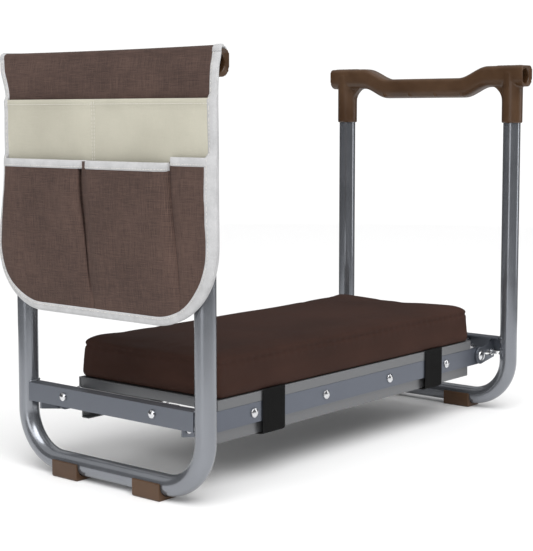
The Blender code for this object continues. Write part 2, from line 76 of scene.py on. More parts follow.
# The leg tubes, as the CAD has them.
UPRIGHT_Y = 0.143
TUBE_RADIUS = 0.012
BEND_RADIUS = 0.057
VOXEL = 0.0011
FOAM_VOXEL = 0.0048


def at(side, d, y, z):
    """The point at a distance d outwards from the middle of the seat."""
    return Vector((SEAT_X + SIGN[side] * d, y, z))


# -------- materials


class Shader:
    """A Principled material whose node inputs can be given as numbers or as other nodes' outputs."""

    def __init__(self, name, colour, roughness=0.5, metallic=0.0, **sockets):
        self.material = bpy.data.materials.new(name)
        self.material.use_nodes = True
        self.material.diffuse_color = (*colour, 1.0)
        self.tree = self.material.node_tree
        self.bsdf = self.tree.nodes["Principled BSDF"]
        self.set(self.bsdf, "Base Color", (*colour, 1.0))
        self.set(self.bsdf, "Roughness", roughness)
        self.set(self.bsdf, "Metallic", metallic)
        for socket, value in sockets.items():
            self.set(self.bsdf, socket.replace("_", " "), value)

    def set(self, node, socket, value):
        target = node.inputs[socket]
        if isinstance(value, bpy.types.NodeSocket):
            self.tree.links.new(value, target)
        else:
            target.default_value = value

    def node(self, kind, output, settings=None, **inputs):
        made = self.tree.nodes.new(kind)
        for key, value in (settings or {}).items():
            setattr(made, key, value)
        for key, value in inputs.items():
            self.set(made, int(key[1:]) if key[1:].isdigit() else key.replace("_", " "), value)
        return made.outputs[output]

    def coords(self, scale=(1, 1, 1), kind="Object", rotation=(0, 0, 0)):
        """The piece's own coordinates, which stay with it at every pose."""
        where = self.node("ShaderNodeTexCoord", kind)
        return self.node("ShaderNodeMapping", "Vector", Vector=where, Scale=scale, Rotation=rotation)

    def noise(self, scale, vector, detail=2.0, roughness=0.5):
        return self.node("ShaderNodeTexNoise", "Fac", Vector=vector, Scale=scale, Detail=detail,
                         Roughness=roughness)

    def math(self, operation, a, b=0.0):
        return self.node("ShaderNodeMath", "Value", {"operation": operation}, i0=a, i1=b)

    def span(self, value, low, high, from_low=0.0, from_high=1.0):
        """value moved from one range to another."""
        made = self.tree.nodes.new("ShaderNodeMapRange")
        for socket, number in zip((0, 1, 2, 3, 4), (value, from_low, from_high, low, high)):
            self.set(made, socket, number)
        return made.outputs[0]

    def mix(self, factor, a, b, blend="MIX"):
        made = self.tree.nodes.new("ShaderNodeMix")
        made.data_type = "RGBA"
        made.blend_type = blend
        self.set(made, 0, factor)
        for socket, colour in ((6, a), (7, b)):
            self.set(made, socket, (*colour, 1.0) if isinstance(colour, tuple) else colour)
        return made.outputs[2]

    def bump(self, height, strength, distance):
        made = self.node("ShaderNodeBump", "Normal", Height=height, Strength=strength, Distance=distance)
        self.set(self.bsdf, "Normal", made)

    def use(self, socket, value):
        self.set(self.bsdf, socket, value)


def painted_metal(name, colour, dark, roughness):
    """Metallic paint: fine flakes, a faint orange peel, and dust-dulled patches."""
    s = Shader(name, colour, roughness, 0.75, Coat_Weight=0.12, Coat_Roughness=0.25)
    here = s.coords()
    flakes = s.noise(2600.0, here, 1.0)
    patches = s.noise(14.0, here, 4.0, 0.6)
    tone = s.math("ADD", s.math("MULTIPLY", flakes, 0.35), s.math("MULTIPLY", patches, 0.65))
    s.use("Base Color", s.mix(s.span(tone, 0.0, 1.0, 0.3, 0.7), dark, colour))
    s.use("Roughness", s.span(patches, roughness - 0.05, roughness + 0.08, 0.3, 0.7))
    s.bump(s.noise(420.0, here, 2.0), 0.03, 0.0002)
    return s.material


def zinc_plate():
    s = Shader("zinc_plate", (0.66, 0.67, 0.68), 0.22, 1.0)
    here = s.coords()
    stain = s.noise(160.0, here, 3.0)
    tone = s.span(stain, 0.0, 1.0, 0.35, 0.7)
    s.use("Base Color", s.mix(tone, (0.5, 0.5, 0.51), (0.74, 0.75, 0.77)))
    s.use("Roughness", s.span(stain, 0.14, 0.3, 0.3, 0.7))
    s.bump(s.noise(1500.0, here, 2.0), 0.05, 0.0002)
    return s.material


def moulded_plastic():
    """Spark-eroded grain on brown polypropylene."""
    s = Shader("moulded_plastic", (0.07, 0.036, 0.018), 0.42, 0.0, Specular_IOR_Level=0.4)
    here = s.coords()
    grain = s.noise(2300.0, here, 2.0, 0.6)
    cloud = s.noise(30.0, here, 3.0)
    tone = s.span(cloud, 0.0, 1.0, 0.3, 0.7)
    s.use("Base Color", s.mix(tone, (0.05, 0.0235, 0.0095), (0.074, 0.037, 0.0165)))
    s.use("Roughness", s.span(s.math("ADD", grain, cloud), 0.28, 0.42, 0.7, 1.3))
    s.bump(grain, 0.22, 0.00025)
    return s.material


def wave(s, vector, axis, period, distortion=0.0):
    """Soft ridges across one axis, one each period metres. At scale 1 the node turns 20 radians a metre."""
    return s.node(
        "ShaderNodeTexWave", "Fac",
        {"wave_type": "BANDS", "bands_direction": axis, "wave_profile": "SIN"},
        Vector=vector, Scale=math.tau / period / 20.0, Distortion=distortion, Detail=1.0, Detail_Scale=1.5,
    )


def woven(name, dark, light, kind, thread, heather, roughness=0.85, bump=0.5, sheen=0.25):
    """Plain weave: two sets of threads whose tones vary along them, crossing over and under.

    kind is the coordinate set: Object for pieces that stand in X, Y and Z, UV for cut sheets in metres."""
    s = Shader(name, light, roughness, 0.0, Sheen_Weight=sheen, Sheen_Roughness=0.45)
    here = s.coords(kind=kind)
    axes = ("X", "Y") if kind == "UV" else ("X", "Z")
    warp = wave(s, here, axes[0], thread, 0.4)
    weft = wave(s, here, axes[1], thread, 0.4)
    if kind == "Object":
        across = wave(s, here, "Y", thread, 0.4)
        warp = s.math("MAXIMUM", warp, across)
    fine, long = 1300.0, 45.0
    along_one = s.noise(1.0, s.coords((fine, long, fine if kind == "UV" else long), kind), 3.0, 0.7)
    along_two = s.noise(1.0, s.coords((long, fine, fine), kind), 3.0, 0.7)
    over = s.math("GREATER_THAN", warp, weft)
    tone = s.node("ShaderNodeMix", 0, {"data_type": "FLOAT"}, i0=over, i2=along_two, i3=along_one)
    cloud = s.noise(9.0, here, 3.0)
    mixed = s.math("ADD", s.math("MULTIPLY", tone, heather), s.math("MULTIPLY", cloud, 1.0 - heather))
    # Painted shadow: where neither thread lies, the gaps between threads are darkened towards a much darker
    # colour.
    gaps = s.math("MULTIPLY", warp, weft)
    colour = s.mix(s.span(mixed, 0.0, 1.0, 0.38, 0.62), dark, light)
    gap_shadow = tuple(0.35 * c for c in dark)
    s.use("Base Color", s.mix(s.span(gaps, 0.5, 0.0, 0.0, 0.25), colour, gap_shadow))
    s.bump(s.math("ADD", s.math("MAXIMUM", warp, weft), s.math("MULTIPLY", tone, 0.6)), bump, 0.0003)
    return s.material


def cover_cloth():
    """The cushion's close brown cover, with a faint weave and a soft sheen."""
    s = Shader("cover_cloth", (0.04, 0.021, 0.016), 0.8, 0.0, Specular_IOR_Level=0.12)
    here = s.coords()
    fine = s.noise(1.0, s.coords((2400.0, 900.0, 900.0)), 2.0, 0.6)
    cross = s.noise(1.0, s.coords((900.0, 2400.0, 2400.0)), 2.0, 0.6)
    weave = s.math("ADD", fine, cross)
    cloud = s.noise(7.0, here, 4.0, 0.55)
    tone = s.span(cloud, 0.0, 1.0, 0.3, 0.7)
    s.use("Base Color", s.mix(tone, (0.028, 0.0125, 0.0088), (0.044, 0.021, 0.0155)))
    s.use("Roughness", s.span(cloud, 0.66, 0.84, 0.3, 0.7))
    s.bump(weave, 0.35, 0.0003)
    return s.material


def elastic_cloth():
    """Black elastic with lengthwise ribs."""
    s = Shader("elastic_cloth", (0.005, 0.005, 0.005), 0.8, 0.0, Specular_IOR_Level=0.2)
    here = s.coords()
    ribs = wave(s, here, "X", 0.0021)
    picks = s.noise(1.0, s.coords((500.0, 2200.0, 2200.0)), 2.0)
    tone = s.math("MULTIPLY", ribs, picks)
    s.use("Base Color", s.mix(tone, (0.002, 0.002, 0.002), (0.009, 0.009, 0.009)))
    s.bump(s.math("ADD", ribs, s.math("MULTIPLY", picks, 0.8)), 0.7, 0.0005)
    return s.material


def tape_cloth():
    """Light grey binding tape with a fine grain and faint blotches."""
    s = Shader("tape_cloth", (0.42, 0.42, 0.42), 0.85, 0.0, Sheen_Weight=0.2, Sheen_Roughness=0.5)
    here = s.coords()
    grain = s.noise(1500.0, here, 2.0, 0.7)
    blotch = s.noise(60.0, here, 4.0, 0.7)
    tone = s.math("ADD", s.math("MULTIPLY", grain, 0.5), s.math("MULTIPLY", blotch, 0.5))
    mixed = s.span(tone, 0.0, 1.0, 0.35, 0.65)
    s.use("Base Color", s.mix(mixed, (0.33, 0.33, 0.335), (0.47, 0.47, 0.475)))
    s.bump(grain, 0.55, 0.0004)
    return s.material


def plain(name, colour, roughness):
    s = Shader(name, colour, roughness)
    s.bump(s.noise(1800.0, s.coords(), 2.0), 0.3, 0.0002)
    return s.material


TUBE = painted_metal("tube_paint", (0.25, 0.262, 0.285), (0.2, 0.21, 0.23), 0.19)
CHANNEL = painted_metal("channel_paint", (0.15, 0.163, 0.19), (0.12, 0.13, 0.152), 0.34)
SHEET = painted_metal("sheet_paint", (0.18, 0.183, 0.19), (0.145, 0.148, 0.153), 0.4)
RAIL = painted_metal("rail_paint", (0.125, 0.138, 0.168), (0.098, 0.108, 0.132), 0.34)
ZINC = zinc_plate()
PLASTIC = moulded_plastic()
COVER = cover_cloth()
ELASTIC = elastic_cloth()
TAPE = tape_cloth()
BROWN = woven("pouch_cloth", (0.034, 0.0165, 0.0125), (0.115, 0.066, 0.05), "UV", 0.0012, 0.75,
              sheen=0.0)
BEIGE = woven("pocket_cloth", (0.42, 0.4, 0.325), (0.53, 0.51, 0.42), "UV", 0.0007, 0.4,
              roughness=0.8, bump=0.3, sheen=0.05)
THREAD = plain("sewing_thread", (0.6, 0.58, 0.54), 0.7)
BROWN_THREAD = plain("brown_thread", (0.035, 0.02, 0.015), 0.7)

SLOT_LOOKS = {
    "painted_tube": TUBE,
    "painted_sheet": SHEET,
    "painted_rail": RAIL,
    "bright_zinc": ZINC,
    "brown_plastic": PLASTIC,
    "cushion_cover": COVER,
    "elastic": ELASTIC,
    "pouch_brown": BROWN,
    "pouch_beige": BEIGE,
}


# -------- mesh helpers


def wear(mesh, material):
    """The mesh all in one material and shaded smooth."""
    mesh.materials.clear()
    mesh.materials.append(material)
    for polygon in mesh.polygons:
        polygon.use_smooth = True
        polygon.material_index = 0


def piece(name, mesh, material):
    obj = bpy.data.objects.new(name, mesh)
    scene.collection.objects.link(obj)
    wear(mesh, material)
    return obj


def from_lists(name, vertices, faces):
    mesh = bpy.data.meshes.new(name)
    mesh.from_pydata([tuple(v) for v in vertices], [], faces)
    mesh.validate()
    mesh.update()
    return mesh


def apply_modifiers(obj):
    bpy.context.view_layer.update()
    evaluated = obj.evaluated_get(bpy.context.evaluated_depsgraph_get())
    made = bpy.data.meshes.new_from_object(evaluated)
    obj.modifiers.clear()
    obj.data = made
    return obj


def modifier(obj, kind, **settings):
    made = obj.modifiers.new(kind.lower(), kind)
    for key, value in settings.items():
        setattr(made, key, value)
    return made


def edge_group():
    """Node group that joins the frame mesh's split corners and shades it smooth."""
    group = bpy.data.node_groups.new("joined_corners", "GeometryNodeTree")
    group.interface.new_socket("Geometry", in_out="INPUT", socket_type="NodeSocketGeometry")
    group.interface.new_socket("Geometry", in_out="OUTPUT", socket_type="NodeSocketGeometry")
    chain = [group.nodes.new(kind) for kind in (
        "NodeGroupInput", "GeometryNodeRemoveAttribute", "GeometryNodeMergeByDistance",
        "GeometryNodeSetShadeSmooth", "NodeGroupOutput")]
    chain[1].inputs["Name"].default_value = "custom_normal"
    chain[2].inputs["Distance"].default_value = 2e-6
    for one, two in zip(chain, chain[1:]):
        group.links.new(one.outputs[0], two.inputs[0])
    return group


JOINED = edge_group()


def finish_edges(obj, width):
    """Modifiers that give a CAD node small rounded edges and smooth round faces."""
    modifier(obj, "NODES", node_group=JOINED)
    modifier(obj, "DECIMATE", decimate_type="DISSOLVE", angle_limit=math.radians(0.4))
    modifier(obj, "BEVEL", width=width, segments=2, limit_method="ANGLE", angle_limit=math.radians(32),
             harden_normals=True, use_clamp_overlap=False)


def ring_faces(rings, closed=True):
    """Quads between consecutive rings of vertex numbers, with the two ends capped."""
    faces = []
    for one, two in zip(rings, rings[1:]):
        count = len(one)
        for i in range(count if closed else count - 1):
            j = (i + 1) % count
            faces.append((one[i], one[j], two[j], two[i]))
    if closed:
        faces.append(tuple(reversed(rings[0])))
        faces.append(tuple(rings[-1]))
    return faces


def skinned(name, rings):
    """A mesh through rings of as many points each, with its two ends capped."""
    count = len(rings[0])
    numbers = [list(range(i * count, (i + 1) * count)) for i in range(len(rings))]
    return from_lists(name, [point for ring in rings for point in ring], ring_faces(numbers))


def heading(points, i):
    """The direction of a line of points at point i."""
    return (points[min(i + 1, len(points) - 1)] - points[max(i - 1, 0)]).normalized()


def swept_mesh(name, points, section, up):
    """A section, as (across, up) pairs, carried along points; up is kept near the given direction."""
    rings = []
    for i, point in enumerate(points):
        run = heading(points, i)
        side = run.cross(up).normalized()
        rise = side.cross(run).normalized()
        rings.append([point + side * a + rise * b for a, b in section])
    return skinned(name, rings)


def circle(radius, count):
    turns = [math.tau * i / count for i in range(count)]
    return [(radius * math.cos(turn), radius * math.sin(turn)) for turn in turns]


def clamp(value):
    return min(max(value, 0.0), 1.0)


def smooth_step(value):
    value = clamp(value)
    return value * value * (3.0 - 2.0 * value)


def turned_out(mesh):
    """The mesh with all its faces looking outwards."""
    bm = bmesh.new()
    bm.from_mesh(mesh)
    bmesh.ops.recalc_face_normals(bm, faces=bm.faces)
    bm.to_mesh(mesh)
    bm.free()
    return mesh


def outward(obj):
    turned_out(obj.data)
    return obj


# -------- carried-over CAD nodes


EDGE_WIDTHS = {
    "painted_tube": 0.0005,
    "painted_sheet": 0.0005,
    "painted_rail": 0.0005,
    "bright_zinc": 0.00025,
    "brown_plastic": 0.0009,
}


def dress_frame():
    """Its look and rounded edges for each CAD node; soft nodes are replaced further on."""
    slots = {row["node"]: row["material_slot"] for row in frame["record"]["subparts"]}
    for name, obj in nodes.items():
        slot = slots[name]
        obj.data.materials.clear()
        flat_steel = "cross_channel" in name or "_ear_" in name
        obj.data.materials.append(CHANNEL if flat_steel else SLOT_LOOKS[slot])
        if slot in EDGE_WIDTHS:
            finish_edges(obj, EDGE_WIDTHS[slot])


dress_frame()


# -------- handles


def merged(name, meshes):
    """One mesh that holds all of the given ones."""
    bm = bmesh.new()
    for mesh in meshes:
        bm.from_mesh(mesh)
    made = bpy.data.meshes.new(name)
    bm.to_mesh(made)
    bm.free()
    return made


def lofted(name, rings):
    """A closed solid through rings of points."""
    return turned_out(skinned(name, rings))


GRIP_HALF_WIDTH = 0.0138
GRIP_DIP = 0.016
GRIP_DEPTH = 0.044
GRIP_END_RISE = 0.0145
FLAT_POWER = 0.34
ROUND_POWER = 0.72


def grip_ring(y, inset, top_z):
    """The grip's section at y: a flat top and a rounded underside that drop between the two ends."""
    far = abs(y)
    top = top_z - GRIP_DIP * (1.0 - smooth_step((far - 0.060) / 0.048))
    bottom = top_z - GRIP_DEPTH + GRIP_END_RISE * smooth_step((far - 0.066) / 0.042)
    middle, half = (top + bottom) / 2, (top - bottom) / 2 - inset
    ring = []
    for a, b in circle(1.0, 48):
        power = FLAT_POWER if b > 0 else ROUND_POWER
        width = math.copysign(abs(a) ** power, a) * (GRIP_HALF_WIDTH - inset)
        ring.append((width, y, middle + half * math.copysign(abs(b) ** power, b)))
    return ring


def grip_rings(half, top_z):
    """Rings from one rounded end of the grip to the other."""
    edge, steps = 0.0035, 120
    stations = []
    for i in range(7):
        turn = math.radians(15 * i)
        stations.append((half - edge * (1 - math.sin(turn)), edge * (1 - math.cos(math.pi / 2 - turn))))
    run = half - edge
    stations += [(run - 2 * run * i / steps, 0.0) for i in range(1, steps)]
    stations += [(-y, inset) for y, inset in reversed(stations[:7])]
    return [grip_ring(y, inset, top_z) for y, inset in stations]


def upright_post(y, low, high):
    """The sleeve that the leg tube enters, with a small bevel at its lower end."""
    radius, bevel = 0.0145, 0.0007
    levels = ((low, radius - bevel), (low + bevel, radius), (high, radius))
    return lofted("post", [[(a, y + b, z) for a, b in circle(r, 40)] for z, r in levels])


def gusset(sign, top_z):
    """The web under the grip beside a sleeve, with a hollow curved edge."""
    start, base, top, half = UPRIGHT_Y - 0.010, top_z - 0.052, top_z - 0.012, 0.0065
    end = start - 0.030
    turns = [math.radians(t) for t in range(0, 91, 9)]
    curve = [(end + 0.027 * math.sin(turn), base + 0.026 * math.cos(turn)) for turn in turns]
    outline = [*curve, (start, base), (start, top), (end, top)]
    return lofted("gusset", [[(x, sign * y, z) for y, z in outline] for x in (-half, half)])


def top_rib(y, top_z):
    """A low rib across the top of the grip's end."""
    foot = top_z - 0.002
    rings = []
    for x, half, rise in ((-0.0112, 0.0004, 0.0), (-0.0100, 0.0013, 0.0006), (0.0, 0.0015, 0.0009),
                          (0.0100, 0.0013, 0.0006), (0.0112, 0.0004, 0.0)):
        shoulder = top_z + rise * 0.5
        rings.append([(x, y - half, foot), (x, y - half, shoulder), (x, y, top_z + rise),
                      (x, y + half, shoulder), (x, y + half, foot)])
    return lofted("rib", rings)


def nub(x, y, base):
    """A small moulding mark on the lower edge of the grip's dip."""
    levels = (base - 0.0004, base + 0.006)
    return lofted("nub", [[(x + a, y + b, z) for a, b in circle(0.0014, 10)] for z in levels])


def handle_piece(side):
    """The moulded grip: its solids are fused by a voxel remesh, and then its end sockets are cut."""
    low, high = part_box(f"{side}_handle")
    half, top_z = high.y, high.z
    solids, sockets = [lofted("grip", grip_rings(half, top_z))], []
    for sign in (-1, 1):
        solids.append(upright_post(sign * UPRIGHT_Y, low.z, top_z - 0.010))
        solids.append(gusset(sign, top_z))
        if side == "right":
            solids += [top_rib(sign * (half - 0.011 - 0.0062 * i), top_z) for i in range(6)]
        oval = [(0.0093 * a, top_z - 0.0145 + 0.0103 * b) for a, b in circle(1.0, 36)]
        depths = (half - 0.030, half + 0.010)
        sockets.append(lofted("socket", [[(x, sign * y, z) for x, z in oval] for y in depths]))
    solids += [nub(x, 0.022 * k, top_z - 0.0425) for x in (-0.0118, 0.0118) for k in (-3, -1, 1, 3)]
    grip = piece(f"{side}_grip", merged("grip", solids), PLASTIC)
    cutter = bpy.data.objects.new("cutter", merged("sockets", sockets))
    scene.collection.objects.link(cutter)
    modifier(grip, "REMESH", mode="VOXEL", voxel_size=VOXEL)
    modifier(grip, "BOOLEAN", operation="DIFFERENCE", object=cutter)
    modifier(grip, "REMESH", mode="VOXEL", voxel_size=VOXEL, use_smooth_shade=True)
    modifier(grip, "SMOOTH", factor=0.5, iterations=5)
    apply_modifiers(grip)
    bpy.data.objects.remove(cutter)
    for vertex in grip.data.vertices:
        vertex.co.x += LEG_X[side]
    wear(grip.data, PLASTIC)
    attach(grip, f"{side}_leg")
    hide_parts(f"{side}_handle")


# -------- tubes, springs and straps


def leg_tube(side):
    """One U-shaped tube, down the front, along the floor and up the rear."""
    low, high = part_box(f"{side}_frame_tube")
    middle_y, middle_z = BEND_RADIUS - UPRIGHT_Y, low.z + TUBE_RADIUS + BEND_RADIUS
    path = [(-UPRIGHT_Y, high.z - 0.05 * i) for i in range(7)]
    for turn in (math.radians(t) for t in range(0, 91, 5)):
        path.append((middle_y - BEND_RADIUS * math.cos(turn), middle_z - BEND_RADIUS * math.sin(turn)))
    path += [(0.0, low.z + TUBE_RADIUS), *((-y, z) for y, z in reversed(path))]
    points = [Vector((LEG_X[side], y, z)) for y, z in path]
    mesh = swept_mesh("tube", points, circle(TUBE_RADIUS, 48), Vector((1, 0, 0)))
    tube = outward(piece(f"{side}_bent_tube", mesh, TUBE))
    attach(tube, f"{side}_leg")
    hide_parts(f"{side}_frame_tube")


def weld_beads(side):
    """Rippled weld at each place where the cross channel meets an upright."""
    low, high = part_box(f"{side}_cross_channel")
    last = 25
    beads = []
    for sign in (-1, 1):
        for ring_z, start, end in ((high.z + 0.0004, -70, 40), (low.z - 0.0002, -40, 40)):
            rings = []
            for i in range(last + 1):
                turn = math.radians(start + (end - start) * i / last)
                out = Vector((math.sin(turn) * SIGN[side], -sign * math.cos(turn), 0.0))
                centre = Vector((LEG_X[side], sign * UPRIGHT_Y, ring_z)) + out * (TUBE_RADIUS + 0.0001)
                fat = 0.0004 if i in (0, last) else 0.0011 + 0.0004 * math.sin(2.6 * i)
                rings.append([centre + out * (fat * a) + Vector((0, 0, fat * 1.2 * b))
                              for a, b in circle(1.0, 10)])
            beads.append(skinned("bead", rings))
    bead = outward(piece(f"{side}_weld_beads", merged("beads", beads), TUBE))
    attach(bead, f"{side}_leg")


def wire_mesh(name, points, radius):
    """A round wire through points, as a mesh."""
    curve = bpy.data.curves.new(name, "CURVE")
    curve.dimensions = "3D"
    curve.bevel_depth = radius
    curve.bevel_resolution = 2
    curve.use_fill_caps = True
    spline = curve.splines.new("POLY")
    spline.points.add(len(points) - 1)
    for slot_point, place in zip(spline.points, points):
        slot_point.co = (*place, 1.0)
    obj = bpy.data.objects.new(name, curve)
    scene.collection.objects.link(obj)
    bpy.context.view_layer.update()
    mesh = bpy.data.meshes.new_from_object(obj.evaluated_get(bpy.context.evaluated_depsgraph_get()))
    bpy.data.objects.remove(obj)
    return mesh


def coil_spring(side, end):
    """An open coil from the spring bolt to a hook round the lock rod."""
    low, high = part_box(f"{side}_spring_{end}")
    sign = SIGN[side]
    outer_x, inner_x = (high.x, low.x) if sign > 0 else (low.x, high.x)
    y, spring_radius = (low.y + high.y) / 2, 0.0052
    start = Vector((outer_x + sign * 0.001, y, low.z + spring_radius))
    finish = Vector((inner_x, y, high.z - spring_radius))
    run = finish - start
    turns, each, radius = 8, 22, 0.0044
    points = []
    for i in range(turns * each + 1):
        turn = math.tau * i / each
        middle = start + run * (0.08 + 0.80 * i / (turns * each))
        points.append(middle + Vector((0.0, radius * math.cos(turn), radius * math.sin(turn))))
    head = [start, start + run * 0.04 + Vector((0.0, radius * 0.5, 0.0))]
    tail = [start + run * 0.92 + Vector((0.0, radius * 0.6, 0.0)), start + run * 0.97, finish]
    mesh = wire_mesh("coil", [*head, *points, *tail], 0.0007)
    spring = piece(f"{side}_coil_{end}", mesh, ZINC)
    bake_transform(spring)
    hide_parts(f"{side}_spring_{end}")


STRAP_WIDTH = 0.040


def strap_section():
    """The strap's section as (across, lift) pairs: a ribbed outer face, a flat inner one, thin edges."""
    columns, ribs = 133, 19
    section = []
    for face in (1, -1):
        for share in (k / (columns - 1) for k in range(columns)):
            edge = min(1.0, 0.35 + min(share, 1 - share) * 40)
            rib = 0.00022 * math.cos(math.tau * ribs * share) if face > 0 else 0.0
            section.append((STRAP_WIDTH * face * (share - 0.5), face * 0.0006 * edge + rib))
    return section


def strap_piece(side):
    """An elastic band with lengthwise ribs, sewn to the cushion's lower edges and passed under the pan."""
    low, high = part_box(f"{side}_strap")
    middle = middle_x(f"{side}_strap")
    half_y, bottom, corner = high.y - 0.0007, low.z + 0.0007, 0.0035
    path = [Vector((half_y, high.z + 0.0012 - 0.006 * i)) for i in range(8)]
    for turn in (math.radians(t) for t in range(0, 91, 15)):
        path.append(Vector((half_y - corner + corner * math.cos(turn),
                            bottom + corner - corner * math.sin(turn))))
    path += [Vector((half_y - corner - 0.0135 * i, bottom)) for i in range(1, 9)]
    path += [Vector((-y, z)) for y, z in reversed(path)]
    section = strap_section()
    rings = []
    for i, point in enumerate(path):
        run = heading(path, i)
        out = Vector((-run.y, run.x))
        if out.dot(point - Vector((0.0, 0.09))) < 0:
            out = -out
        sag = 0.0012 * math.sin(math.pi * i / (len(path) - 1)) if abs(point.x) < 0.1 else 0.0
        rings.append([(middle + across, point.x + out.x * lift, point.y + out.y * lift - sag)
                      for across, lift in section])
    strap = outward(piece(f"{side}_elastic_strap", skinned("strap", rings), ELASTIC))
    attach(strap, "seat")
    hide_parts(f"{side}_strap")


# -------- cushion


def cushion_block(low, high):
    """The foam block that the cover is stretched over, a little smaller than the finished cushion."""
    smaller, radius = 0.002, 0.007
    half_x, half_y = (high.x - low.x) / 2 - smaller, (high.y - low.y) / 2 - smaller
    top = high.z - 0.0008
    levels = ((0.002, low.z), (0.0, low.z + 0.002), (0.0, top - 0.006), (0.0012, top - 0.0022),
              (0.004, top))
    rings = []
    for inset, z in levels:
        ring = []
        for sx, sy, start in ((1, 1, 0), (-1, 1, 90), (-1, -1, 180), (1, -1, 270)):
            for turn in (math.radians(start + t) for t in range(0, 91, 15)):
                ring.append((sx * (half_x - inset - radius) + radius * math.cos(turn),
                             sy * (half_y - inset - radius) + radius * math.sin(turn), z))
        rings.append(ring)
    return lofted("foam", rings)


def inflate(obj, frames, pressure, held_below):
    """The piece as a cloth that air pushes out, held still below a height."""
    held = obj.vertex_groups.new(name="held")
    held.add([v.index for v in obj.data.vertices if v.co.z < held_below], 1.0, "REPLACE")
    cloth = modifier(obj, "CLOTH")
    settings = cloth.settings
    settings.quality = 6
    settings.mass = 0.3
    settings.tension_stiffness = 12
    settings.compression_stiffness = 12
    settings.bending_stiffness = 0.6
    settings.use_pressure = True
    settings.uniform_pressure_force = pressure
    settings.effector_weights.gravity = 0.0
    settings.vertex_group_mass = "held"
    cloth.point_cache.frame_start = 1
    cloth.point_cache.frame_end = frames
    for number in range(1, frames + 1):
        scene.frame_set(number)
    apply_modifiers(obj)
    scene.frame_set(1)


def coordinates(mesh):
    flat = np.empty(len(mesh.vertices) * 3)
    mesh.vertices.foreach_get("co", flat)
    return flat.reshape(-1, 3)


SWELL_CAP = 0.0035


def swollen_block(low, high):
    """The cushion's cover, blown out by the simulation by no more than the cap, and subdivided once."""
    cushion = piece("padded_cushion", cushion_block(low, high), COVER)
    modifier(cushion, "REMESH", mode="VOXEL", voxel_size=FOAM_VOXEL, use_smooth_shade=True)
    apply_modifiers(cushion)
    before = coordinates(cushion.data)
    inflate(cushion, 20, 4.0, low.z + 0.006)
    moved = coordinates(cushion.data) - before
    reach = np.linalg.norm(moved, axis=1)
    moved *= np.minimum(1.0, SWELL_CAP / np.maximum(reach, 1e-9))[:, None]
    cushion.data.vertices.foreach_set("co", (before + moved).reshape(-1))
    modifier(cushion, "SUBSURF", levels=1, render_levels=1)
    return apply_modifiers(cushion)


def cushion_piece():
    """The padded seat, with its seam under the top edge, sewn corners and a few soft hollows."""
    low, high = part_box("cushion")
    cushion = swollen_block(low, high)
    mesh = cushion.data
    seam_z = high.z - 0.0095
    half_x, half_y = (high.x - low.x) / 2, (high.y - low.y) / 2
    normals = [vertex.normal.copy() for vertex in mesh.vertices]
    for vertex, normal in zip(mesh.vertices, normals):
        x, y, z = vertex.co
        side = min(1.0, max(0.0, 1.0 - normal.z * 1.6))
        seam = 0.0024 * math.exp(-((z - seam_z - 0.0006 * math.sin(31 * x + 17 * y)) / 0.0021) ** 2)
        corner = math.hypot(abs(x) - half_x + 0.0045, abs(y) - half_y + 0.0045)
        upright = 0.0011 * math.exp(-((corner / 0.0028) ** 2)) if z < seam_z else 0.0
        puckers = 0.0004 * math.sin(math.tau * (x + y) / 0.013) * math.exp(-(((z - seam_z) / 0.006) ** 2))
        soft = 0.0007 * noise.noise(Vector((x * 11, y * 11, z * 16))) * smooth_step((z - low.z) / 0.02)
        vertex.co += normal * (soft - side * (seam + upright + puckers))
        vertex.co.x = min(max(vertex.co.x, -half_x - 0.0018), half_x + 0.0018)
        vertex.co.y = min(max(vertex.co.y, -half_y - 0.0035), half_y + 0.0035)
        vertex.co.z = min(max(vertex.co.z, low.z), high.z + 0.0038)
        vertex.co.x += SEAT_X
    wear(mesh, COVER)
    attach(cushion, "seat")
    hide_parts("cushion")


# -------- pouch
#
# d is measured outwards from the middle of the seat. The pouch's edges and seams are (z, y) rows, and
# every cloth surface that hangs is a depth d over y and z.

POUCH_LOW = 0.197
FRONT_ROUND = 0.088
REAR_ROUND = 0.074
BAND_LOW = 0.4387
LOWER_TOP = 0.3705
SMALL_POCKET_RISE = 0.0062
MIDDLE_Y = 0.003
FOLD_Z = 0.4855
FOLD_D = 0.3358
COVER_D = 0.3383
HANDLE_MIDDLE = (0.3197, 0.478)
OUTWARDS = Vector((-1, 0, 0))


def along(table, value):
    """A smooth value between the (position, value) rows of a table, in falling positions."""
    for (high, one), (low, two) in zip(table, table[1:]):
        if value >= low:
            share = smooth_step((high - value) / (high - low)) if value < high else 0.0
            return one + (two - one) * share
    return table[-1][1]


FRONT_EDGE = ((0.4935, -0.1805), (0.4387, -0.1785), (0.374, -0.1790), (0.285, -0.1795), (0.197, -0.1795))
REAR_EDGE = ((0.4935, 0.1665), (0.4387, 0.1530), (0.36, 0.1540), (0.262, 0.1650), (0.197, 0.1650))


def pouch_sides(z):
    """The front and rear edge of the pouch at a height, rounded in at the bottom corners."""
    insets = []
    for radius in (FRONT_ROUND, REAR_ROUND):
        drop = min(max(0.0, POUCH_LOW + radius - z), radius)
        insets.append(radius - math.sqrt(radius**2 - drop**2))
    return along(FRONT_EDGE, z) + insets[0], along(REAR_EDGE, z) - insets[1]


def cloth_noise(y, z, scale, seed):
    return noise.noise(Vector((y * scale, z * scale, seed)))


def cover_d(y, z):
    """The back panel's depth: it leaves the fold and hangs a little further out, with faint waves."""
    lift = (COVER_D - FOLD_D) * smooth_step((FOLD_Z - z) / 0.016)
    return FOLD_D + lift + 0.0005 * (cloth_noise(y, z, 14, 1.0) + 1.0) * smooth_step((FOLD_Z - z) / 0.03)


